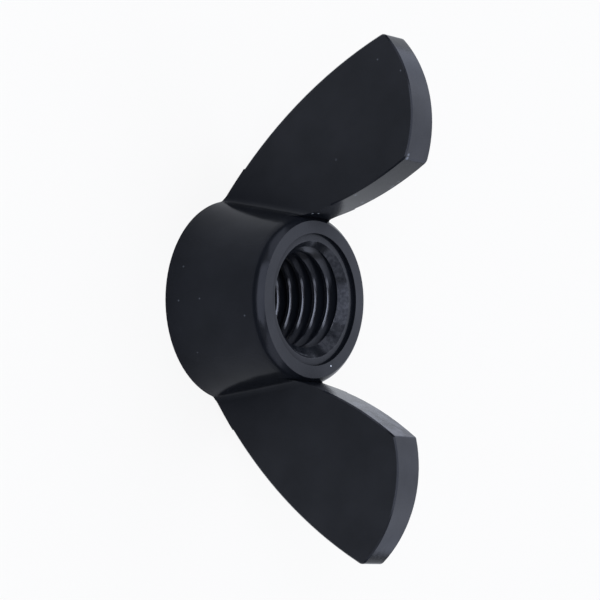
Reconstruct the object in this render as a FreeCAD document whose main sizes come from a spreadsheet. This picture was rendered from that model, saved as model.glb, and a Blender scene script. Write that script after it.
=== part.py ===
"""Spare wheel wing nut: one moulded piece with a tapered hub, a recessed mouth and two curved wings.

The nut stands on its flat bearing face at z = 0, with the thread axis on +Z and the wings along X.
"""
import FreeCAD, Part
import math
import os
import Sketcher

NODE = "wing_nut"
ACROSS_AXIS, UP_AXIS = range(-1, -3, -1)
START, END, CENTRE = range(1, 4)
ORIGIN_POINT = (ACROSS_AXIS, START)
FULL_TURN = 360

# Driving dimensions, in millimetres.
SIZES = (
    ("hub_height", 11.5, "bearing face to the flat rim of the mouth"),
    ("base_dia", 21.6, "hub at the bearing face"),
    ("bore_dia", 10.2, "minor diameter of the M12 x 1.75 thread"),
    ("lead_in_depth", 1.1, "45 degree lead-ins at both ends of the thread"),
    ("recess_ledge", 0.8, "flat ring round the upper lead-in"),
    ("recess_depth", 0.37, "counterbore round that ring"),
    ("rim_width", 1.32, "flat rim round the counterbore"),
    ("shoulder_round", 2.2, "rounding from the rim into the cone, centred under the counterbore's wall"),
    ("wing_span", 55.1, "tip to tip, before the tips are rounded"),
    ("tip_height", 20.45, "wing tips above the bearing face"),
    ("back_radius", 50.5, "outer lower edge of a wing"),
    ("corner_span", 28.5, "upper inner corner to upper inner corner"),
    ("corner_height", 24.15, "upper inner corners above the bearing face"),
    ("crest_radius", 12.6, "top edge of a wing"),
    ("front_radius", 37.2, "inner edge of a wing, facing the other wing"),
    ("front_foot_span", 16.0, "between the lower ends of the inner edges, inside the hub"),
    ("front_foot_depth", 5.15, "lower ends of the inner edges, below the rim"),
    ("axis_thickness", 4.6, "wings carried in to the axis"),
    ("tip_thickness", 3.2, "wings at their tips"),
    ("root_fillet", 0.8, "wing faces into the hub"),
    ("tip_round", 0.8, "wing tips"),
    ("left_corner_round", 1.0, "upper inner corner of the wing at -X"),
    ("right_corner_round", 0.35, "upper inner corner of the wing at +X"),
    ("edge_break", 0.15, "small chamfer on the edges round the wing faces"),
)

# Radii of the mouth from the bore outwards, the height of the shoulder's centre, and how far the slabs and
# the cone run past the finished outline, so that the root fillets end in spare material.
LEAD_IN = "sizes.bore_dia / 2 + sizes.lead_in_depth"
RECESS = LEAD_IN + " + sizes.recess_ledge"
RIM = RECESS + " + sizes.rim_width"
SHOULDER_UP = "sizes.hub_height - sqrt(sizes.shoulder_round ^ 2 - sizes.rim_width ^ 2)"
RUN_OUT_RADII = 4
RUN_OUT = "%d * sizes.root_fillet" % RUN_OUT_RADII


def add_sheet(doc):
    """Writes the driving dimensions into a spreadsheet with one alias per value."""
    sheet = doc.addObject("Spreadsheet::Sheet", "sizes")
    for row, (alias, value, note) in enumerate(SIZES, start=1):
        sheet.set("A%d" % row, note)
        sheet.set("B%d" % row, str(value))
        sheet.setAlias("B%d" % row, alias)
    doc.recompute()
    return sheet


def origin_plane(body, role):
    """Finds one of the body's own origin planes."""
    return next(item for item in body.Origin.OriginFeatures if item.Role == role)


def add_sketch(body, name, role):
    """Adds a sketch on one of the body's origin planes."""
    sketch = body.newObject("Sketcher::SketchObject", name)
    sketch.AttachmentSupport = [(origin_plane(body, role), "")]
    sketch.MapMode = "FlatFace"
    return sketch


def add_feature(body, kind, name, sizes=None, **settings):
    """Adds a feature with its plain settings and the sizes that are tied to the sheet."""
    feature = body.newObject("PartDesign::" + kind, name)
    for key, setting in settings.items():
        setattr(feature, key, setting)
    for key, expression in (sizes or {}).items():
        feature.setExpression(key, expression)
    body.Tip = feature
    body.Document.recompute()
    return feature


def revolve(body, kind, name, sketch):
    """Adds a full turn of a profile round the thread axis."""
    return add_feature(body, kind, name, Profile=sketch, ReferenceAxis=(sketch, ["V_Axis"]), Angle=FULL_TURN)


def rule(sketch, kind, *places):
    """Adds a geometric constraint to the sketch."""
    sketch.addConstraint(Sketcher.Constraint(kind, *places))


def bind(sketch, name, expression, kind, *places):
    """Adds a named dimension to the sketch and ties it to the sheet."""
    index = sketch.addConstraint(Sketcher.Constraint(kind, *places))
    sketch.renameConstraint(index, name)
    sketch.setExpression("Constraints." + name, expression)


def bind_point(sketch, geometry, end, name, across=None, up=None):
    """Ties a point, across and up from the sketch origin, to the sheet."""
    point = sketch.getPoint(geometry, end)
    if across:
        bind(sketch, name + "_across", across, "DistanceX", *ORIGIN_POINT, geometry, end, point.x)
    if up:
        bind(sketch, name + "_up", up, "DistanceY", *ORIGIN_POINT, geometry, end, point.y)


def add_loop(sketch, edges, level=(), upright=(), smooth=()):
    """Adds a closed loop of edges; the level and upright ones are named, and those that run on smoothly."""
    for edge in edges:
        sketch.addGeometry(edge)
    for index in range(len(edges)):
        joint = "Tangent" if index in smooth else "Coincident"
        rule(sketch, joint, index, END, (index + 1) % len(edges), START)
    for index in level:
        rule(sketch, "Horizontal", index)
    for index in upright:
        rule(sketch, "Vertical", index)


def path(corners):
    """The straight sketch edges along a list of (across, up) corners."""
    points = [FreeCAD.Vector(*corner, 0) for corner in corners]
    return [Part.LineSegment(start, end) for start, end in zip(points, points[1:])]


def circle(centre, radius):
    """A sketch circle round an (across, up) point."""
    return Part.Circle(FreeCAD.Vector(*centre, 0), FreeCAD.Vector(0, 0, 1), radius)


def bulging_arc(start, end, radius):
    """A sketch arc that bulges to the right on its way from start to end."""
    first = FreeCAD.Vector(*start, 0)
    last = FreeCAD.Vector(*end, 0)
    chord = last - first
    inward = FreeCAD.Vector(-chord.y, chord.x, 0).normalize()
    centre = (first + last) * 0.5 + inward * math.sqrt(radius ** 2 - (chord.Length / 2) ** 2)
    angles = [math.atan2(point.y - centre.y, point.x - centre.x) for point in (first, last)]
    return Part.ArcOfCircle(circle((centre.x, centre.y), radius), *angles)


def is_wing_face(face):
    """Whether a face is one of the flat sides of the wings."""
    return isinstance(face.Surface, Part.Plane) and abs(face.Surface.Axis.y) > 0.9


def is_wing_rim(face):
    """Whether a face is one of the curved edges round the wings."""
    return isinstance(face.Surface, Part.Cylinder) and abs(face.Surface.Axis.y) > 0.9


def is_hub_cone(face):
    """Whether a face is the outer cone of the hub."""
    return isinstance(face.Surface, Part.Cone) and abs(face.Surface.Axis.z) > 0.9


def edges_between(feature, one_side, other_side):
    """Maps the edges of a feature that lie between two kinds of face to their middles."""
    places = {}
    for index, edge in enumerate(feature.Shape.Edges, start=1):
        faces = feature.Shape.ancestorsOfType(edge, Part.Face)
        if len(faces) == 2:
            first, second = faces
            if (one_side(first) and other_side(second)) or (one_side(second) and other_side(first)):
                places["Edge%d" % index] = edge.CenterOfMass
    return places


def add_fillet(body, name, base, edges, size):
    """Rounds the named edges of a feature by one of the sheet's sizes."""
    return add_feature(body, "Fillet", name, Base=(base, list(edges)), sizes={"Radius": "sizes." + size})


def mouth_radii(value):
    """The radii of the mouth from the bore outwards: lead-in, counterbore and flat rim."""
    lead_in = value("bore_dia") / 2 + value("lead_in_depth")
    recess = lead_in + value("recess_ledge")
    return lead_in, recess, recess + value("rim_width")


def shoulder_centre(value):
    """The centre of the shoulder's rounding, across and up: the rim's outer edge lies on its arc."""
    _, recess, rim = mouth_radii(value)
    return recess, value("hub_height") - math.sqrt(value("shoulder_round") ** 2 - (rim - recess) ** 2)


def cone_lean(value):
    """The cone's lean from upright: from the base edge, tangent to the shoulder's rounding."""
    across, up = shoulder_centre(value)
    inset = value("base_dia") / 2 - across
    return math.atan2(inset, up) - math.asin(value("shoulder_round") / math.hypot(inset, up))


def add_plan(body, value, name, span):
    """Sketches the wings from above, past one of the spans: thickest on the axis, thinner outwards."""
    reach = value(span) / 2 + RUN_OUT_RADII * value("root_fillet")
    reach_rule = "(sizes.%s / 2 + %s)" % (span, RUN_OUT)
    middle = value("axis_thickness") / 2
    outer = middle - (value("axis_thickness") - value("tip_thickness")) / value("wing_span") * reach
    corners = [(0, middle), (-reach, outer), (-reach, -outer), (0, -middle), (reach, -outer), (reach, outer)]
    sketch = add_sketch(body, name, "XY_Plane")
    add_loop(sketch, path(corners + corners[:1]))
    rule(sketch, "PointOnObject", 0, START, UP_AXIS)
    rule(sketch, "Symmetric", 0, START, 2, END, *ORIGIN_POINT)
    rule(sketch, "Symmetric", 0, END, 3, END, *ORIGIN_POINT)
    rule(sketch, "Symmetric", 1, END, 4, END, *ORIGIN_POINT)
    rule(sketch, "Symmetric", 4, START, 4, END, ACROSS_AXIS)
    bind_point(sketch, 0, START, "middle", up="sizes.axis_thickness / 2")
    bind_point(sketch, 4, END, "outer", across=reach_rule,
               up="sizes.axis_thickness / 2 - (sizes.axis_thickness - sizes.tip_thickness)"
                  " / sizes.wing_span * " + reach_rule)
    return sketch


def add_cone_blank(body, value):
    """Adds the hub's cone, carried past both ends."""
    bottom_up = -RUN_OUT_RADII * value("root_fillet")
    lid_up = value("hub_height") - bottom_up
    slope = math.tan(cone_lean(value))
    base_edge = value("base_dia") / 2
    corners = [(0, bottom_up), (base_edge - slope * bottom_up, bottom_up),
               (base_edge - slope * lid_up, lid_up), (0, lid_up)]
    bottom, cone, lid, axis = range(4)
    sketch = add_sketch(body, "cone_blank_profile", "XZ_Plane")
    add_loop(sketch, path(corners + corners[:1]), level=(bottom, lid), upright=(axis,))
    rule(sketch, "PointOnObject", bottom, START, UP_AXIS)
    bind_point(sketch, bottom, START, "bottom", up="-" + RUN_OUT)
    bind_point(sketch, lid, END, "lid", up="sizes.hub_height + " + RUN_OUT)
    edge = sketch.addGeometry(Part.Point(FreeCAD.Vector(base_edge, 0, 0)), True)
    rule(sketch, "PointOnObject", edge, START, cone)
    rule(sketch, "PointOnObject", edge, START, ACROSS_AXIS)
    bind_point(sketch, edge, START, "base_edge", across="sizes.base_dia / 2")
    shoulder = sketch.addGeometry(circle(shoulder_centre(value), value("shoulder_round")), True)
    bind_point(sketch, shoulder, CENTRE, "shoulder", across=RECESS, up=SHOULDER_UP)
    bind(sketch, "shoulder", "sizes.shoulder_round", "Radius", shoulder, value("shoulder_round"))
    rule(sketch, "Tangent", cone, shoulder)
    return revolve(body, "Revolution", "cone_blank", sketch)


def add_outline(body, value):
    """Sketches what lies outside the outline of the wing at +X."""
    run_out = RUN_OUT_RADII * value("root_fillet")
    foot = (value("base_dia") / 2, 0)
    tip = (value("wing_span") / 2, value("tip_height"))
    corner = (value("corner_span") / 2, value("corner_height"))
    front_foot = (value("front_foot_span") / 2, value("hub_height") - value("front_foot_depth"))
    clear = value("wing_span") / 2 + 2 * run_out
    above = value("corner_height") + value("crest_radius") + run_out
    below = -2 * run_out
    curves = [bulging_arc(foot, tip, value("back_radius")),
              bulging_arc(tip, corner, value("crest_radius")),
              bulging_arc(corner, front_foot, value("front_radius"))]
    around = [front_foot, (0, front_foot[1]), (0, above), (clear, above),
              (clear, below), (0, below), (0, 0), foot]
    back, crest, front, inside, upper_axis, lid, end, floor, lower_axis, base = range(10)
    sketch = add_sketch(body, "wing_outline", "XZ_Plane")
    add_loop(sketch, curves + path(around), level=(inside, lid, floor, base),
             upright=(upper_axis, end, lower_axis))
    rule(sketch, "Coincident", base, START, *ORIGIN_POINT)
    rule(sketch, "PointOnObject", inside, END, UP_AXIS)
    bind_point(sketch, base, END, "foot", across="sizes.base_dia / 2")
    bind_point(sketch, back, END, "tip", across="sizes.wing_span / 2", up="sizes.tip_height")
    bind_point(sketch, crest, END, "corner", across="sizes.corner_span / 2", up="sizes.corner_height")
    bind_point(sketch, front, END, "front_foot", across="sizes.front_foot_span / 2",
               up="sizes.hub_height - sizes.front_foot_depth")
    bind_point(sketch, lid, END, "clear", across="sizes.wing_span / 2 + 2 * " + RUN_OUT,
               up="sizes.corner_height + sizes.crest_radius + " + RUN_OUT)
    bind_point(sketch, floor, END, "below", up="-2 * " + RUN_OUT)
    for index, name in ((back, "back_radius"), (crest, "crest_radius"), (front, "front_radius")):
        bind(sketch, name, "sizes." + name, "Radius", index, value(name))
    return sketch


def add_trim(body, name, outline):
    """Cuts away everything outside the wings' outline, first at +X and then mirrored to -X."""
    trim = add_feature(body, "Pocket", name, Profile=outline, Type="ThroughAll", SideType="Symmetric")
    return add_feature(body, "Mirrored", name + "_mirrored", Originals=[trim],
                       MirrorPlane=(origin_plane(body, "YZ_Plane"), [""]))


def add_wings(body, value, outline):
    """Builds both wings: a slab cut to the outline, with rounded tips and corners and broken edges."""
    plan = add_plan(body, value, "wing_plan", "wing_span")
    add_feature(body, "Pad", "wing_slab", Profile=plan,
                sizes={"Length": "sizes.corner_height + sizes.crest_radius"})
    wings = add_trim(body, "wing_trim", outline)
    halfway = (value("wing_span") + value("corner_span")) / 4
    tips = [edge for edge, place in edges_between(wings, is_wing_rim, is_wing_rim).items()
            if abs(place.x) > halfway]
    wings = add_fillet(body, "tip_rounds", wings, tips, "tip_round")
    for side, name in ((-1, "left_corner_round"), (1, "right_corner_round")):
        corner = [edge for edge, place in edges_between(wings, is_wing_rim, is_wing_rim).items()
                  if 0 < side * place.x < halfway]
        wings = add_fillet(body, name, wings, corner, name)
    rims = list(edges_between(wings, is_wing_face, is_wing_rim))
    return add_feature(body, "Chamfer", "edge_breaks", Base=(wings, rims), sizes={"Size": "sizes.edge_break"})


def add_roots(body, value, outline):
    """Blends the wings into the hub: a stub and a cone with root fillets, cut to the same outline."""
    plan = add_plan(body, value, "root_plan", "base_dia")
    add_feature(body, "Pad", "root_slab", Profile=plan, SideType="Two sides",
                sizes={"Length": "sizes.hub_height + " + RUN_OUT, "Length2": RUN_OUT})
    cone = add_cone_blank(body, value)
    add_fillet(body, "root_fillets", cone, edges_between(cone, is_wing_face, is_hub_cone), "root_fillet")
    return add_trim(body, "root_trim", outline)


def add_hub(body, value):
    """Adds the hub: a cone with a rounded shoulder that ends at the crisp edge of the flat rim."""
    lean = cone_lean(value)
    radius = value("shoulder_round")
    across, up = shoulder_centre(value)
    rim = (mouth_radii(value)[-1], value("hub_height"))
    tangent_point = (across + radius * math.cos(lean), up + radius * math.sin(lean))
    rim_angle = math.atan2(rim[1] - up, rim[0] - across)
    below = path([(0, 0), (value("base_dia") / 2, 0), tangent_point])
    arc = Part.ArcOfCircle(circle((across, up), radius), lean, rim_angle)
    above = path([rim, (0, value("hub_height")), (0, 0)])
    base, cone, shoulder, top, axis = range(5)
    sketch = add_sketch(body, "hub_profile", "XZ_Plane")
    add_loop(sketch, below + [arc] + above, level=(base, top), upright=(axis,), smooth=(cone,))
    rule(sketch, "Coincident", base, START, *ORIGIN_POINT)
    bind_point(sketch, base, END, "base_edge", across="sizes.base_dia / 2")
    bind_point(sketch, shoulder, END, "rim", across=RIM, up="sizes.hub_height")
    bind_point(sketch, shoulder, CENTRE, "shoulder", across=RECESS)
    bind(sketch, "shoulder", "sizes.shoulder_round", "Radius", shoulder, radius)
    return revolve(body, "Revolution", "hub", sketch)


def add_bore(body, value):
    """Cuts the bore at the thread's minor diameter, its lead-ins and the counterbore of the mouth."""
    bore = value("bore_dia") / 2
    lead_in, recess, _ = mouth_radii(value)
    chamfer = value("lead_in_depth")
    floor = value("hub_height") - value("recess_depth")
    corners = [(0, 0), (lead_in, 0), (bore, chamfer), (bore, floor - chamfer), (lead_in, floor),
               (recess, floor), (recess, value("hub_height")), (0, value("hub_height"))]
    base, lower, wall, upper, ledge, side, top, axis = range(8)
    sketch = add_sketch(body, "bore_profile", "XZ_Plane")
    add_loop(sketch, path(corners + corners[:1]), level=(base, ledge, top), upright=(wall, side, axis))
    rule(sketch, "Coincident", base, START, *ORIGIN_POINT)
    bind_point(sketch, base, END, "lower_lead_in", across=LEAD_IN)
    bind_point(sketch, lower, END, "wall_foot", across="sizes.bore_dia / 2", up="sizes.lead_in_depth")
    bind_point(sketch, wall, END, "wall_top",
               up="sizes.hub_height - sizes.recess_depth - sizes.lead_in_depth")
    bind_point(sketch, upper, END, "upper_lead_in", across=LEAD_IN,
               up="sizes.hub_height - sizes.recess_depth")
    bind_point(sketch, ledge, END, "recess", across=RECESS)
    bind_point(sketch, side, END, "mouth", up="sizes.hub_height")
    return revolve(body, "Groove", "bore", sketch)


def check_document(doc, body):
    """Stops if any object of the document failed, or if the nut isn't one valid solid."""
    for item in doc.Objects:
        if "Invalid" in item.State or "Error" in item.State:
            raise RuntimeError("%s failed: %s" % (item.Name, item.State))
    if body.Shape.isNull() or not body.Shape.isValid() or len(body.Shape.Solids) != 1:
        raise RuntimeError("%s is not one valid solid" % body.Label)


def main():
    """Builds the nut and writes it as a STEP file."""
    os.makedirs("parts", exist_ok=True)
    doc = FreeCAD.newDocument(NODE)
    sheet = add_sheet(doc)

    def value(alias):
        return float(sheet.get(alias))

    body = doc.addObject("PartDesign::Body", NODE)
    body.Label = NODE
    body.Placement = FreeCAD.Placement()
    outline = add_outline(body, value)
    add_wings(body, value, outline)
    add_roots(body, value, outline)
    hub = add_hub(body, value)
    bore = add_bore(body, value)
    if bore.Shape.Volume >= hub.Shape.Volume:
        raise RuntimeError("the bore cut nothing")
    check_document(doc, body)
    body.Shape.exportStep("parts/%s.step" % body.Label)


main()
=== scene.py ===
"""A black spare wheel wing nut on a pale studio floor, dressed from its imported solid.

All lengths are in metres, in the part's own frame: the nut stands on z = 0 with its thread on +Z and
its wings along X. Only the specks and the camera are given in millimetres.
"""
import enum
import logging
import math
from dataclasses import dataclass
from typing import Any, Optional

import bpy
from mathutils import Matrix, Vector


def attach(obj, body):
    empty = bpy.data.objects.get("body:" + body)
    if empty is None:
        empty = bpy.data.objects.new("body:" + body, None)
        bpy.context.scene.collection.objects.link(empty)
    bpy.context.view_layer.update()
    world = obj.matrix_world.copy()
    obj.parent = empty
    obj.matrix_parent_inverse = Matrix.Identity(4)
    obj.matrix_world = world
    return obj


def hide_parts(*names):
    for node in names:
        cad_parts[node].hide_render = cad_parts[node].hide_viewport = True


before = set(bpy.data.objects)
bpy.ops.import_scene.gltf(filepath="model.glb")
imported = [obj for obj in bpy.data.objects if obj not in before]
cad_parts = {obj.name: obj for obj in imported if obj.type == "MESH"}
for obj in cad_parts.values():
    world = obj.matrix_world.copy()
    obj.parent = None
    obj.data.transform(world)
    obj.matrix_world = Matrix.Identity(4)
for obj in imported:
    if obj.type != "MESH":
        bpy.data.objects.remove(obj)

LOG = logging.getLogger("wing_nut_scene")
MM = 0.001
NODE = "wing_nut"
BODY = "root"
SMOOTH_ANGLE = math.radians(28)
MERGE_DISTANCE = 0.001 * MM
WHITE = (1, 1, 1, 1)
# Multiplied with a place, this keeps x and y and drops the height.
FLATTEN = (1, 1, 0)
# Nearly all values of a noise texture lie in the first range. The second gives patches clearer borders.
NOISE_RANGE = (0.3, 0.7)
PATCH_RANGE = (0.35, 0.65)


def linear(hex_colour: str) -> tuple[float, float, float, float]:
    """Turns an sRGB hex colour into linear RGBA, by the curve of the sRGB standard.

    Args:
        hex_colour: A colour such as "#1a1c20".

    Returns:
        Red, green, blue and alpha, linear, from 0 to 1.
    """
    channels = [int(hex_colour[start:start + 2], 16) / 255 for start in (1, 3, 5)]
    straight = [c / 12.92 if c <= 0.04045 else ((c + 0.055) / 1.055) ** 2.4 for c in channels]
    return straight[0], straight[1], straight[2], 1.0


def add_node(tree: bpy.types.NodeTree, kind: str, links: Optional[dict[Any, Any]] = None,
             values: Optional[dict[Any, Any]] = None, **settings: Any) -> bpy.types.Node:
    """Adds a node with its settings, socket values and incoming links.

    Args:
        tree: The node tree that gets the node.
        kind: The node's type name.
        links: Input name or number to the output socket that feeds it.
        values: Input name or number to its own value.
        **settings: Properties of the node itself.

    Returns:
        The new node.
    """
    node = tree.nodes.new(kind)
    for name, setting in settings.items():
        setattr(node, name, setting)
    for name, value in (values or {}).items():
        node.inputs[name].default_value = value
    for name, source in (links or {}).items():
        tree.links.new(source, node.inputs[name])
    return node


def new_material(name: str) -> bpy.types.Material:
    """Makes an empty node material of that name."""
    material = bpy.data.materials.new(name)
    material.use_nodes = True
    material.node_tree.nodes.clear()
    return material


def deselect_all() -> None:
    """Deselects every object, so that an operator reaches only what is selected next."""
    bpy.ops.object.select_all(action="DESELECT")


def make_active(piece: bpy.types.Object) -> None:
    """Selects one object alone and makes it the active one."""
    deselect_all()
    piece.select_set(True)
    bpy.context.view_layer.objects.active = piece


def select_across(piece: bpy.types.Object, low: float, high: float) -> None:
    """Goes into edit mode with only the corners selected whose x lies between two values.

    Args:
        piece: The active object.
        low: Lowest x.
        high: Highest x.
    """
    bpy.ops.object.mode_set(mode="EDIT")
    bpy.ops.mesh.select_mode(type="VERT")
    bpy.ops.mesh.select_all(action="DESELECT")
    bpy.ops.object.mode_set(mode="OBJECT")
    for corner in piece.data.vertices:
        corner.select = low < corner.co.x < high
    bpy.ops.object.mode_set(mode="EDIT")
    bpy.ops.mesh.select_mode(type="EDGE")


class Mark(enum.Enum):
    """What a speck is, with its colour: dust, a bare chip or a dull scuff."""

    DUST = "#404348"
    BARE = "#b4b8bd"
    SCUFF = "#60646c"


@dataclass(frozen=True)
class Spot:
    """A small speck on the nut.

    Attributes:
        mark: What the speck is.
        place: Its centre, in millimetres.
        radius: Its radius, in millimetres.
        cover: How much of the body colour it hides.
    """

    mark: Mark
    place: tuple[float, float, float]
    radius: float
    cover: float = 1.0

    def lay(self, tree: bpy.types.NodeTree, place: bpy.types.NodeSocket,
            colour: bpy.types.NodeSocket) -> bpy.types.NodeSocket:
        """Lays the speck on a colour, with its full cover in the inner half and a soft rim.

        Args:
            tree: The material's node tree.
            place: The place on the nut.
            colour: The colour under the speck.

        Returns:
            The socket with the new colour.
        """
        away = add_node(tree, "ShaderNodeVectorMath", {0: place},
                        {1: Vector(self.place) * MM}, operation="DISTANCE").outputs["Value"]
        cover = add_node(tree, "ShaderNodeMapRange", {"Value": away},
                         {"From Min": self.radius * MM, "From Max": self.radius * MM / 2,
                          "To Max": self.cover})
        return add_node(tree, "ShaderNodeMix", {"Factor": cover.outputs["Result"], "A": colour},
                        {"B": linear(self.mark.value)}, data_type="RGBA").outputs["Result"]


SPECKS = (
    Spot(Mark.DUST, (-2.77, -10.14, 1.77), 0.12),
    Spot(Mark.DUST, (0.84, -10.50, 1.61), 0.12),
    Spot(Mark.DUST, (0.63, -10.10, 4.17), 0.11),
    Spot(Mark.DUST, (2.37, -8.96, 9.47), 0.12),
    Spot(Mark.DUST, (6.16, -8.33, 2.67), 0.12, 0.6),
    Spot(Mark.DUST, (-24.74, -1.67, 19.86), 0.12),
    Spot(Mark.DUST, (-23.38, -1.71, 22.95), 0.12),
    Spot(Mark.DUST, (-14.45, -1.92, 15.10), 0.18, 0.4),
    Spot(Mark.BARE, (-8.92, -1.72, 12.06), 0.12),
    Spot(Mark.BARE, (-8.98, -1.04, 12.32), 0.11),
    Spot(Mark.BARE, (6.83, 3.14, 11.50), 0.12),
    Spot(Mark.SCUFF, (-14.24, -1.45, 24.06), 0.24, 0.9),
    Spot(Mark.SCUFF, (-14.60, -1.50, 24.25), 0.20, 0.7),
    Spot(Mark.SCUFF, (-10.70, -1.40, 17.50), 0.20, 0.6),
    Spot(Mark.SCUFF, (-10.25, 1.20, 16.38), 0.28, 0.5),
    Spot(Mark.SCUFF, (-10.58, 1.61, 17.25), 0.22, 0.4),
    Spot(Mark.SCUFF, (-11.84, 1.53, 20.02), 0.30, 0.4),
    Spot(Mark.SCUFF, (-12.30, 1.34, 20.92), 0.22, 0.3),
    Spot(Mark.SCUFF, (10.90, -0.70, 18.00), 0.40, 0.5),
    Spot(Mark.SCUFF, (11.20, -1.10, 18.60), 0.30, 0.6),
    Spot(Mark.SCUFF, (11.86, -0.91, 20.07), 0.40, 0.4),
)


@dataclass(frozen=True)
class ScuffsAndPaintedReflection:
    """The front edge of the +X wing, made paler: partly a painted reflection of the floor, which the face
    catches at a glancing angle, and partly scuffed in patches by what the nut was thrown in with.

    Attributes:
        colour_hex: Colour of the scuff marks and the painted reflection.
        patch: Size of the patches.
        across: Distances across where the scuffs begin and are at their full strength.
        facing: X of the surface's direction where the front edge begins and where it is wholly one.
        cover: Least and most of the body colour that the patches hide.
    """

    colour_hex: str = "#5a5b61"
    patch: float = 1.2 * MM
    across: tuple[float, float] = (9.5 * MM, 11 * MM)
    facing: tuple[float, float] = (-0.6, -0.8)
    cover: tuple[float, float] = (0.4, 1.0)

    def lay(self, tree: bpy.types.NodeTree, place: bpy.types.NodeSocket,
            colour: bpy.types.NodeSocket) -> bpy.types.NodeSocket:
        """Lays the scuff marks and the painted reflection on a colour.

        Args:
            tree: The material's node tree.
            place: The place on the nut.
            colour: The colour under the scuff marks and the painted reflection.

        Returns:
            The socket with the new colour.
        """
        across = add_node(tree, "ShaderNodeSeparateXYZ", {"Vector": place}).outputs["X"]
        wing = add_node(tree, "ShaderNodeMapRange", {"Value": across},
                        {"From Min": self.across[0], "From Max": self.across[1]})
        normal = add_node(tree, "ShaderNodeTexCoord").outputs["Normal"]
        facing = add_node(tree, "ShaderNodeSeparateXYZ", {"Vector": normal}).outputs["X"]
        front = add_node(tree, "ShaderNodeMapRange", {"Value": facing},
                         {"From Min": self.facing[0], "From Max": self.facing[1]})
        patches = add_node(tree, "ShaderNodeTexNoise", {"Vector": place}, {"Scale": 1 / self.patch})
        cover = add_node(tree, "ShaderNodeMapRange", {"Value": patches.outputs["Fac"]},
                         {"From Min": PATCH_RANGE[0], "From Max": PATCH_RANGE[1],
                          "To Min": self.cover[0], "To Max": self.cover[1]})
        # Painted reflection and scuff marks: the whole front face turns paler by at least the least cover,
        # more in the patches.
        strength = wing.outputs["Result"]
        for share in (front, cover):
            strength = add_node(tree, "ShaderNodeMath", {0: strength, 1: share.outputs["Result"]},
                                operation="MULTIPLY").outputs["Value"]
        return add_node(tree, "ShaderNodeMix", {"Factor": strength, "A": colour},
                        {"B": linear(self.colour_hex)}, data_type="RGBA").outputs["Result"]


@dataclass(frozen=True)
class PaintedShadeAndHighlight:
    """Painted shade and highlight in the reflections: painted shade in the corners and towards the hub,
    and a painted highlight on the edges of the wings and the rim.

    Attributes:
        painted_light_zone: Distances across from the axis where the painted shade is deepest and where it
            ends.
        hub_shine: Share of the reflections that is left towards the hub, under the painted shade.
        edge_shine: How many times stronger the reflections are on the edges of the wings and the rim,
            painted highlight.
        edge_facing: How far a surface faces along Y where an edge begins and where it is wholly one.
        corner_reach: How far the painted shade reaches out of a corner.
        corner_open: Shares of open space round a place where the painted shade is deepest and where it
            ends.
        corner_shine: Share of the reflections that is left deep in a corner.
        corner_samples: Number of rays that look for a corner.
    """

    painted_light_zone: tuple[float, float] = (8 * MM, 20 * MM)
    hub_shine: float = 0.82
    edge_shine: float = 1.32
    edge_facing: tuple[float, float] = (0.15, 0.05)
    corner_reach: float = 9 * MM
    corner_open: tuple[float, float] = (0.5, 1.0)
    corner_shine: float = 0.15
    corner_samples: int = 8

    def shine(self, tree: bpy.types.NodeTree, place: bpy.types.NodeSocket,
              specular: float) -> bpy.types.NodeSocket:
        """Works out the strength of the reflections: painted shade in corners and towards the hub, painted
        highlight on edges.

        Args:
            tree: The material's node tree.
            place: The place on the nut.
            specular: The specular level of the skin on an open face.

        Returns:
            The socket with the specular level.
        """
        # Painted shade: the reflections weaken where little open space is round a place, as in corners.
        corner = add_node(tree, "ShaderNodeAmbientOcclusion", values={"Distance": self.corner_reach},
                          only_local=True, samples=self.corner_samples).outputs["AO"]
        painted_corner_shade = add_node(tree, "ShaderNodeMapRange", {"Value": corner},
                        {"From Min": self.corner_open[0], "From Max": self.corner_open[1],
                         "To Min": specular * self.corner_shine, "To Max": specular})
        # Painted shade: the reflections weaken towards the hub, across X.
        across = add_node(tree, "ShaderNodeSeparateXYZ", {"Vector": place}).outputs["X"]
        outwards = add_node(tree, "ShaderNodeMath", {0: across}, operation="ABSOLUTE")
        painted_light = add_node(tree, "ShaderNodeMapRange", {"Value": outwards.outputs["Value"]},
                           {"From Min": self.painted_light_zone[0], "From Max": self.painted_light_zone[1],
                            "To Min": self.hub_shine, "To Max": 1.0})
        # Painted highlight: the reflections strengthen on faces that hardly face along Y, such as the edges
        # of the wings and the rim.
        normal = add_node(tree, "ShaderNodeTexCoord").outputs["Normal"]
        sideways = add_node(tree, "ShaderNodeSeparateXYZ", {"Vector": normal}).outputs["Y"]
        facing = add_node(tree, "ShaderNodeMath", {0: sideways}, operation="ABSOLUTE")
        edge = add_node(tree, "ShaderNodeMapRange", {"Value": facing.outputs["Value"]},
                        {"From Min": self.edge_facing[0], "From Max": self.edge_facing[1],
                         "To Min": 1.0, "To Max": self.edge_shine})
        level = painted_corner_shade.outputs["Result"]
        for share in (painted_light, edge):
            level = add_node(tree, "ShaderNodeMath", {0: level, 1: share.outputs["Result"]},
                             operation="MULTIPLY").outputs["Value"]
        return level


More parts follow.
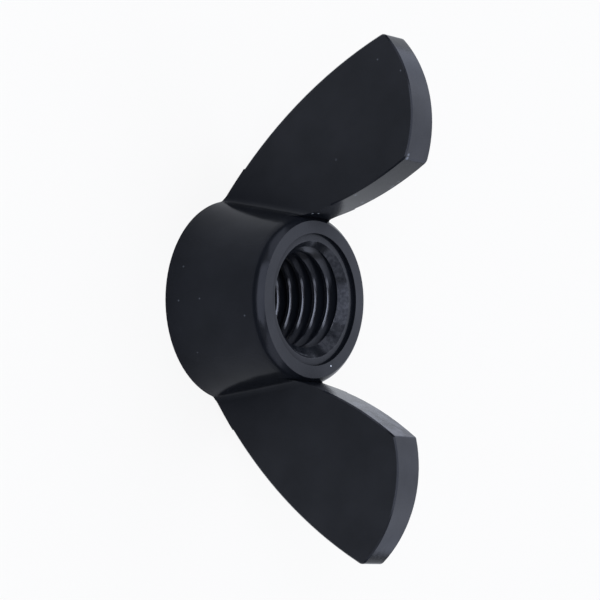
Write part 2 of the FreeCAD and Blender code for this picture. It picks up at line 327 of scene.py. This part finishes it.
@dataclass(frozen=True)
class PaintedThreadHighlight:
    """Painted highlights in the thread: stronger reflections in the bore, in patches on the lead-in,
    and most of all on the crests of the thread on the +Y side.

    Attributes:
        bore_shine: How many times stronger the reflections are in the bore, a painted highlight that
            offsets part of the painted shade.
        mouth_radius: The lead-in's outer limit from the thread axis.
        mouth_up: Height where the lead-in of the mouth begins.
        lead_in_patch: Size of the patches of painted highlight on the lead-in.
        lead_in_patch_detail: Number of finer layers in the patches.
        lead_in_shine: How many times stronger the reflections are in the lead-in's brightest patches,
            painted highlight.
        crest_radius: The crests' outer limit from the thread axis.
        highlight_side: Distances along +Y where the painted highlight on the crests begins and is at its
            full strength.
        crest_highlight_specular: The specular level of the crests on the +Y side, a painted highlight.
    """

    bore_shine: float = 2.5
    mouth_radius: float = 6.25 * MM
    mouth_up: float = 10.05 * MM
    lead_in_patch: float = 0.4 * MM
    lead_in_patch_detail: float = 1.0
    lead_in_shine: float = 1.8
    crest_radius: float = 5.27 * MM
    highlight_side: tuple[float, float] = (4.4 * MM, 4.7 * MM)
    crest_highlight_specular: float = 0.9

    def shine(self, tree: bpy.types.NodeTree, place: bpy.types.NodeSocket,
              skin: bpy.types.NodeSocket) -> bpy.types.NodeSocket:
        """Adds the painted highlights in the thread to the strength of the reflections.

        Args:
            tree: The material's node tree.
            place: The place on the nut.
            skin: The specular level of the skin without these painted highlights.

        Returns:
            The socket with the specular level.
        """
        axes = add_node(tree, "ShaderNodeSeparateXYZ", {"Vector": place}).outputs
        flat = add_node(tree, "ShaderNodeVectorMath", {0: place}, {1: FLATTEN}, operation="MULTIPLY")
        radius = add_node(tree, "ShaderNodeVectorMath", {0: flat.outputs["Vector"]},
                          operation="LENGTH").outputs["Value"]
        # Painted highlight: stronger reflections in the bore, and in patches on the lead-in above the
        # mouth's height.
        within = add_node(tree, "ShaderNodeMath", {0: radius}, {1: self.mouth_radius},
                          operation="LESS_THAN")
        mouth = add_node(tree, "ShaderNodeMath", {0: axes["Z"]}, {1: self.mouth_up},
                         operation="GREATER_THAN")
        patches = add_node(tree, "ShaderNodeTexNoise", {"Vector": place},
                           {"Scale": 1 / self.lead_in_patch, "Detail": self.lead_in_patch_detail})
        lead_in_highlight = add_node(tree, "ShaderNodeMapRange", {"Value": patches.outputs["Fac"]},
                           {"From Min": PATCH_RANGE[0], "From Max": PATCH_RANGE[1],
                            "To Min": 1.0, "To Max": self.lead_in_shine})
        share = add_node(tree, "ShaderNodeMix",
                         {"Factor": mouth.outputs["Value"], "B": lead_in_highlight.outputs["Result"]},
                         {"A": self.bore_shine}).outputs["Result"]
        bore_highlight = add_node(tree, "ShaderNodeMath", {0: skin, 1: share}, operation="MULTIPLY")
        with_bore_highlight = add_node(tree, "ShaderNodeMix",
                        {"Factor": within.outputs["Value"], "A": skin,
                         "B": bore_highlight.outputs["Value"]}).outputs["Result"]
        # Painted highlight: much stronger reflections on the crests of the thread on the +Y side.
        leaning = add_node(tree, "ShaderNodeMapRange", {"Value": axes["Y"]},
                           {"From Min": self.highlight_side[0], "From Max": self.highlight_side[1]})
        crest = add_node(tree, "ShaderNodeMath", {0: radius}, {1: self.crest_radius},
                         operation="LESS_THAN")
        painted_light_zone = add_node(tree, "ShaderNodeMath", {0: leaning.outputs["Result"], 1: crest.outputs["Value"]},
                          operation="MULTIPLY")
        return add_node(tree, "ShaderNodeMix", {"Factor": painted_light_zone.outputs["Value"], "A": with_bore_highlight},
                        {"B": self.crest_highlight_specular}).outputs["Result"]


@dataclass(frozen=True)
class MouldedNylon:
    """Glass-filled black nylon, injection moulded: a deep bluish black with a soft satin skin.

    The eye sees a near-black body colour, soft reflections that brighten at a glancing angle and a fine
    uneven skin from the mould. Painted shade weakens the reflections towards the hub and in the corners,
    and a painted highlight strengthens them on the edges of the wings and the rim. Painted highlights
    strengthen them in the bore, in patches on the lead-in and most of all on the crests of the thread on
    the +Y side. One edge is scuffed and paler, partly with a painted reflection, and a few specks and
    chips are on the outside.

    Attributes:
        body_hex: The darker body colour.
        pale_hex: The lighter body colour of its faint clouds.
        sheen_hex: Tint of its reflections.
        roughness: Middle roughness of the skin.
        roughness_spread: Difference between its dullest and smoothest clouds.
        ior: Refractive index of nylon, near 1.5.
        specular: The specular level of its skin, less than a clean polish has.
        unevenness: How far the clouds raise or lower the specular level.
        cloud: Size of the clouds.
        cloud_detail: Number of finer layers in the clouds.
        cloud_roughness: Strength of those layers.
        skin: Size of the skin's grain, drawn coarser than the real one so that it shows.
        skin_detail: Number of finer layers in the grain.
        skin_roughness: Strength of those layers.
        skin_depth: Depth of the grain.
        skin_strength: Strength of the grain's relief.
        painted_shade_and_highlight: The painted shade and highlight in the reflections.
        painted_thread_highlight: The painted highlights in the thread.
        scuffs_and_reflection: The scuffed edge with its painted reflection.
        spots: The specks.
    """

    body_hex: str = "#0e1013"
    pale_hex: str = "#121419"
    sheen_hex: str = "#f6f7ff"
    roughness: float = 0.18
    roughness_spread: float = 0.06
    ior: float = 1.5
    specular: float = 0.187
    unevenness: float = 0.12
    cloud: float = 4 * MM
    cloud_detail: float = 3.0
    cloud_roughness: float = 0.55
    skin: float = 0.7 * MM
    skin_detail: float = 2.0
    skin_roughness: float = 0.6
    skin_depth: float = 0.012 * MM
    skin_strength: float = 0.6
    # Painted shade and highlight, painted highlights in the thread, and the scuffed edge with its painted
    # reflection.
    painted_shade_and_highlight: PaintedShadeAndHighlight = PaintedShadeAndHighlight()
    painted_thread_highlight: PaintedThreadHighlight = PaintedThreadHighlight()
    scuffs_and_reflection: ScuffsAndPaintedReflection = ScuffsAndPaintedReflection()
    spots: tuple[Spot, ...] = SPECKS

    def material(self) -> bpy.types.Material:
        """Builds the node material.

        Returns:
            The finished material.
        """
        material = new_material("moulded_black_nylon")
        tree = material.node_tree
        place = add_node(tree, "ShaderNodeTexCoord").outputs["Object"]
        cloud = add_node(tree, "ShaderNodeTexNoise", {"Vector": place},
                         {"Scale": 1 / self.cloud, "Detail": self.cloud_detail,
                          "Roughness": self.cloud_roughness}).outputs["Fac"]
        skin = add_node(tree, "ShaderNodeTexNoise", {"Vector": place},
                        {"Scale": 1 / self.skin, "Detail": self.skin_detail,
                         "Roughness": self.skin_roughness})
        gloss = add_node(tree, "ShaderNodeMapRange", {"Value": cloud},
                         {"From Min": NOISE_RANGE[0], "From Max": NOISE_RANGE[1],
                          "To Min": self.roughness - self.roughness_spread / 2,
                          "To Max": self.roughness + self.roughness_spread / 2})
        bump = add_node(tree, "ShaderNodeBump", {"Height": skin.outputs["Fac"]},
                        {"Strength": self.skin_strength, "Distance": self.skin_depth})
        shader = add_node(tree, "ShaderNodeBsdfPrincipled",
                          {"Base Color": self.colour(tree, place, cloud),
                           "Roughness": gloss.outputs["Result"],
                           "Specular IOR Level": self.shine(tree, place, cloud),
                           "Normal": bump.outputs["Normal"]},
                          {"IOR": self.ior, "Specular Tint": linear(self.sheen_hex)})
        add_node(tree, "ShaderNodeOutputMaterial", {"Surface": shader.outputs["BSDF"]})
        return material

    def colour(self, tree: bpy.types.NodeTree, place: bpy.types.NodeSocket,
               cloud: bpy.types.NodeSocket) -> bpy.types.NodeSocket:
        """Mixes the body's clouds and lays the scuffed edge with its painted reflection and the specks on
        them.

        Args:
            tree: The material's node tree.
            place: The place on the nut.
            cloud: The clouds, from 0 to 1.

        Returns:
            The socket with the colour.
        """
        colour = add_node(tree, "ShaderNodeMix", {"Factor": cloud},
                          {"A": linear(self.body_hex), "B": linear(self.pale_hex)},
                          data_type="RGBA").outputs["Result"]
        # The scuffed edge carries a painted reflection as well as its scuff marks.
        for layer in (self.scuffs_and_reflection, *self.spots):
            colour = layer.lay(tree, place, colour)
        return colour

    def shine(self, tree: bpy.types.NodeTree, place: bpy.types.NodeSocket,
              cloud: bpy.types.NodeSocket) -> bpy.types.NodeSocket:
        """Works out the strength of the reflections from the painted shade and highlight, the clouds and
        the painted thread highlights.

        Args:
            tree: The material's node tree.
            place: The place on the nut.
            cloud: The clouds, from 0 to 1.

        Returns:
            The socket with the specular level.
        """
        # Painted shade and highlight set the strength of the reflections here, and painted thread
        # highlights below.
        painted_light = self.painted_shade_and_highlight.shine(tree, place, self.specular)
        uneven = add_node(tree, "ShaderNodeMapRange", {"Value": cloud},
                          {"From Min": NOISE_RANGE[0], "From Max": NOISE_RANGE[1],
                           "To Min": 1 - self.unevenness, "To Max": 1 + self.unevenness})
        level = add_node(tree, "ShaderNodeMath", {0: painted_light, 1: uneven.outputs["Result"]},
                         operation="MULTIPLY").outputs["Value"]
        return self.painted_thread_highlight.shine(tree, place, level)


@dataclass(frozen=True)
class PaleCard:
    """Matt white card, pressed and uncoated: an even white floor that keeps a faint soft shadow.

    Attributes:
        colour_hex: Colour of the card.
        white_share: Share of plain white in what the camera and reflections see of it.
        mirrored_hex: Colour of the white that reflections see, a little cool.
        covered_radius: Under the hub, where no light gets in and the card stays dark.
        shaded_radius: Round the hub, where reflections see the nut's shadow on the card.
    """

    colour_hex: str = "#c9c6c0"
    white_share: float = 0.88
    mirrored_hex: str = "#eef3fb"
    covered_radius: float = 10.0 * MM
    shaded_radius: float = 20.0 * MM

    def material(self) -> bpy.types.Material:
        """Builds the node material.

        Returns:
            The finished material.
        """
        material = new_material("matt_white_card")
        tree = material.node_tree
        rays = add_node(tree, "ShaderNodeLightPath").outputs
        place = add_node(tree, "ShaderNodeTexCoord").outputs["Object"]
        reach = add_node(tree, "ShaderNodeVectorMath", {0: place}, operation="LENGTH").outputs["Value"]
        open_floor = add_node(tree, "ShaderNodeMath", {0: reach}, {1: self.covered_radius},
                              operation="GREATER_THAN")
        unshaded = add_node(tree, "ShaderNodeMapRange", {"Value": reach},
                            {"From Min": self.covered_radius, "From Max": self.shaded_radius})
        mirrored = add_node(tree, "ShaderNodeMath",
                            {0: rays["Is Glossy Ray"], 1: unshaded.outputs["Result"]},
                            operation="MULTIPLY")
        seen = add_node(tree, "ShaderNodeMath",
                        {0: rays["Is Camera Ray"], 1: open_floor.outputs["Value"]},
                        operation="MULTIPLY")
        either = add_node(tree, "ShaderNodeMath",
                          {0: seen.outputs["Value"], 1: mirrored.outputs["Value"]},
                          operation="MAXIMUM")
        share = add_node(tree, "ShaderNodeMath", {0: either.outputs["Value"]}, {1: self.white_share},
                         operation="MULTIPLY")
        card = add_node(tree, "ShaderNodeBsdfDiffuse", values={"Color": linear(self.colour_hex)})
        white = add_node(tree, "ShaderNodeMix", {"Factor": rays["Is Camera Ray"]},
                         {"A": linear(self.mirrored_hex), "B": WHITE}, data_type="RGBA").outputs["Result"]
        glow = add_node(tree, "ShaderNodeEmission", {"Color": white})
        shader = add_node(tree, "ShaderNodeMixShader",
                          {0: share.outputs["Value"], 1: card.outputs["BSDF"],
                           2: glow.outputs["Emission"]})
        add_node(tree, "ShaderNodeOutputMaterial", {"Surface": shader.outputs["Shader"]})
        return material


@dataclass(frozen=True)
class ThreadCutter:
    """A helical ridge in the form of the M12 x 1.75 thread's groove, cut out of the plain bore.

    Attributes:
        pitch: Rise in one turn.
        groove_radius: Bottom of the groove, half the thread's outside diameter.
        bore_radius: Wall of the plain bore, where the crests of the thread stay.
        inner_radius: Open side of the ridge, inside the bore's clear space.
        crest_bevel: Depth of the broken edges of the crests.
        root_flat: Width of the groove's bottom.
        flank_deg: Slope of a flank from the radial direction.
        start_up: Height of the groove's middle on +X at the lower end of the helix.
        turns: Number of turns, past both ends of the bore.
        steps: Faces in one turn.
        profile_corners: Corners of the ridge's section, which closes its two ends.
    """

    pitch: float = 1.75 * MM
    groove_radius: float = 6.0 * MM
    bore_radius: float = 5.1 * MM
    inner_radius: float = 4.9 * MM
    crest_bevel: float = 0.15 * MM
    root_flat: float = 0.22 * MM
    flank_deg: float = 30.0
    start_up: float = -2.9425 * MM
    turns: int = 9
    steps: int = 120
    profile_corners: int = 6

    def build(self) -> bpy.types.Object:
        """Models the ridge from a plane: tapered to the flanks, flared to the crests, swept up the helix.

        Returns:
            The closed ridge.
        """
        flank_foot = self.bore_radius + self.crest_bevel
        depth = self.groove_radius - flank_foot
        width = self.root_flat + 2 * depth * math.tan(math.radians(self.flank_deg))
        middle = Vector((flank_foot + depth / 2, 0, self.start_up))
        deselect_all()
        bpy.ops.mesh.primitive_plane_add(size=1, rotation=(math.pi / 2, 0, 0), location=middle)
        ridge = bpy.context.object
        ridge.name = "thread_cutter"
        ridge.scale = (depth, width, 1)
        bpy.ops.object.transform_apply(location=True, rotation=True, scale=True)
        select_across(ridge, middle.x, math.inf)
        bpy.ops.transform.resize(value=(1, 1, self.root_flat / width), center_override=middle)
        select_across(ridge, -math.inf, middle.x)
        # The flare opens at 45 degrees on both sides, which breaks the edges of the crests.
        flare = flank_foot - self.inner_radius
        bpy.ops.mesh.extrude_region_move(TRANSFORM_OT_translate={"value": (-flare, 0, 0)})
        bpy.ops.transform.resize(value=(1, 1, 1 + 2 * flare / width), center_override=middle)
        select_across(ridge, flank_foot - self.crest_bevel / 2, flank_foot + self.crest_bevel / 2)
        bpy.ops.mesh.dissolve_edges(use_verts=False)
        bpy.ops.object.mode_set(mode="OBJECT")
        helix = ridge.modifiers.new("helix", "SCREW")
        helix.axis = "Z"
        helix.angle = 2 * math.pi
        helix.screw_offset = self.pitch
        helix.iterations = self.turns
        helix.steps = self.steps
        bpy.ops.object.modifier_apply(modifier=helix.name)
        bpy.ops.object.mode_set(mode="EDIT")
        bpy.ops.mesh.select_all(action="SELECT")
        bpy.ops.mesh.remove_doubles(threshold=MERGE_DISTANCE)
        bpy.ops.mesh.fill_holes(sides=self.profile_corners)
        bpy.ops.mesh.normals_make_consistent(inside=False)
        bpy.ops.object.mode_set(mode="OBJECT")
        return ridge


@dataclass
class WingNut:
    """The wing nut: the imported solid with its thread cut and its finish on.

    Attributes:
        finish: What it is moulded from.
        thread: The ridge that cuts its thread.
        piece: The finished object, once it is built.
    """

    finish: MouldedNylon = MouldedNylon()
    thread: ThreadCutter = ThreadCutter()
    piece: Optional[bpy.types.Object] = None

    def build(self) -> None:
        """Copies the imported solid, merges its triangles and cuts the thread into the bore."""
        self.piece = bpy.data.objects.new("wing_nut_body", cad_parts[NODE].data.copy())
        bpy.context.scene.collection.objects.link(self.piece)
        self.piece.data.materials.clear()
        make_active(self.piece)
        bpy.ops.mesh.customdata_custom_splitnormals_clear()
        bpy.ops.object.mode_set(mode="EDIT")
        bpy.ops.mesh.select_all(action="SELECT")
        bpy.ops.mesh.remove_doubles(threshold=MERGE_DISTANCE)
        bpy.ops.object.mode_set(mode="OBJECT")
        self.cut_thread()
        make_active(self.piece)
        bpy.ops.object.shade_smooth_by_angle(angle=SMOOTH_ANGLE)

    def cut_thread(self) -> None:
        """Cuts the helical groove out of the plain bore."""
        ridge = self.thread.build()
        make_active(self.piece)
        cut = self.piece.modifiers.new("thread", "BOOLEAN")
        cut.operation = "DIFFERENCE"
        cut.solver = "EXACT"
        cut.object = ridge
        bpy.ops.object.modifier_apply(modifier=cut.name)
        make_active(ridge)
        bpy.ops.object.delete()

    def dress(self) -> None:
        """Gives the nut its finish and its place on the CAD body."""
        self.piece.data.materials.append(self.finish.material())
        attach(self.piece, BODY)
        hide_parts(NODE)


@dataclass(frozen=True)
class SoftLamp:
    """A rectangular soft lamp that faces the nut.

    Attributes:
        name: Name of the lamp.
        towards: Direction from the nut to the lamp.
        distance: Distance from the nut.
        width: Width of the lamp.
        height: Height of the lamp.
        level: Brightness of its face, where 1 is white.
        colour_hex: Colour of its light, a little cool.
    """

    name: str
    towards: tuple[float, float, float]
    distance: float
    width: float
    height: float
    level: float
    colour_hex: str = "#e2eaff"

    def hang(self, target: Vector) -> None:
        """Hangs the lamp so that it faces a point.

        Args:
            target: The point that the lamp faces.
        """
        back = Vector(self.towards).normalized()
        deselect_all()
        bpy.ops.object.light_add(type="AREA", location=target + back * self.distance,
                                 rotation=(-back).to_track_quat("-Z", "Y").to_euler())
        lamp = bpy.context.object
        lamp.name = self.name
        lamp.data.shape = "RECTANGLE"
        lamp.data.size = self.width
        lamp.data.size_y = self.height
        lamp.data.energy = self.level * math.pi * self.width * self.height
        lamp.data.color = linear(self.colour_hex)[:3]


@dataclass(frozen=True)
class Viewpoint:
    """The photograph's viewing angle, with the wings upright in the picture.

    Attributes:
        right: Direction to the right of the picture.
        back: Direction out of the picture, towards the camera.
        place: Where the camera stands, in millimetres.
        lens: Its focal length, in millimetres.
        sensor: Width of its sensor, in millimetres.
        clip_start: Distance where it begins to see.
    """

    right: tuple[float, float, float] = (-0.0417, 0.6314, 0.7743)
    back: tuple[float, float, float] = (0.0704, -0.7712, 0.6327)
    place: tuple[float, float, float] = (20.88, -228.39, 196.81)
    lens: float = 167.74
    sensor: float = 36.0
    clip_start: float = 0.01


@dataclass
class Studio:
    """The floor, the light and the camera.

    Attributes:
        card: The floor's finish.
        floor_size: Side of the floor.
        floor_gap: Gap between the floor and the bearing face, so that the two don't share a plane.
        sky_low: Brightness of the light tent near the floor and in its open top.
        sky_band: Brightness of its walls between the two.
        band_from: Sines of the height where the bright walls begin and are at their full brightness.
        band_to: Sines of the height where they start to fade and where the open top begins.
        lamps: The soft lamps.
        target: The point that the lamps face.
        view: Where the camera stands and how it looks at the nut.
    """

    card: PaleCard = PaleCard()
    floor_size: float = 1.6
    floor_gap: float = 0.02 * MM
    sky_low: float = 0.08
    sky_band: float = 0.55
    band_from: tuple[float, float] = (0.25, 0.45)
    band_to: tuple[float, float] = (0.75, 0.92)
    lamps: tuple[SoftLamp, ...] = (
        SoftLamp("back_softbox", (-0.07, 0.82, 0.48), 0.45, 0.94, 0.52, 1.65),
        SoftLamp("front_softbox", (-0.07, -0.74, 0.67), 0.50, 0.64, 0.32, 3.8),
        SoftLamp("left_softbox", (-0.78, -0.02, 0.62), 0.50, 0.42, 0.50, 1.7),
        SoftLamp("right_softbox", (0.78, -0.02, 0.62), 0.50, 0.42, 0.50, 1.7),
    )
    target: tuple[float, float, float] = (0, 0, 12 * MM)
    view: Viewpoint = Viewpoint()

    def lay_floor(self) -> None:
        """Lays the pale floor just under the bearing face."""
        deselect_all()
        bpy.ops.mesh.primitive_plane_add(size=self.floor_size, location=(0, 0, -self.floor_gap))
        floor = bpy.context.object
        floor.name = "floor"
        bpy.ops.object.transform_apply(location=True, rotation=True, scale=True)
        floor.data.materials.append(self.card.material())

    def light(self) -> None:
        """Lights the nut with a light tent, brightest in its walls, and the soft lamps."""
        world = bpy.data.worlds.new("soft_sky")
        bpy.context.scene.world = world
        world.use_nodes = True
        tree = world.node_tree
        tree.nodes.clear()
        towards = add_node(tree, "ShaderNodeTexCoord").outputs["Generated"]
        rise = add_node(tree, "ShaderNodeSeparateXYZ", {"Vector": towards}).outputs["Z"]
        walls = add_node(tree, "ShaderNodeMapRange", {"Value": rise},
                         {"From Min": self.band_from[0], "From Max": self.band_from[1],
                          "To Min": self.sky_low, "To Max": self.sky_band}, interpolation_type="SMOOTHSTEP")
        level = add_node(tree, "ShaderNodeMapRange", {"Value": rise, "To Min": walls.outputs["Result"]},
                         {"From Min": self.band_to[0], "From Max": self.band_to[1],
                          "To Max": self.sky_low}, interpolation_type="SMOOTHSTEP")
        sky = add_node(tree, "ShaderNodeBackground", {"Strength": level.outputs["Result"]},
                       {"Color": WHITE})
        add_node(tree, "ShaderNodeOutputWorld", {"Surface": sky.outputs["Background"]})
        for lamp in self.lamps:
            lamp.hang(Vector(self.target))

    def place_camera(self) -> None:
        """Places the camera at the photograph's viewpoint, with its axes made square to each other."""
        right = Vector(self.view.right).normalized()
        back = Vector(self.view.back)
        back = (back - right * back.dot(right)).normalized()
        up = back.cross(right)
        turn = Matrix((right, up, back)).transposed()
        bpy.ops.object.camera_add(location=Vector(self.view.place) * MM, rotation=turn.to_euler())
        camera = bpy.context.object
        camera.name = "camera"
        camera.data.sensor_width = self.view.sensor
        camera.data.lens = self.view.lens
        camera.data.clip_start = self.view.clip_start
        bpy.context.scene.camera = camera


def plain_view() -> None:
    """Shows colours as they are written."""
    bpy.context.scene.view_settings.view_transform = "Standard"


def main() -> None:
    """Builds the nut and the studio in order."""
    logging.basicConfig(level=logging.INFO, format="%(message)s")
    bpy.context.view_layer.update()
    plain_view()
    nut = WingNut()
    nut.build()
    nut.dress()
    LOG.info("%s: %d faces", nut.piece.name, len(nut.piece.data.polygons))
    studio = Studio()
    studio.lay_floor()
    studio.light()
    studio.place_camera()


if __name__ == "__main__":
    main()
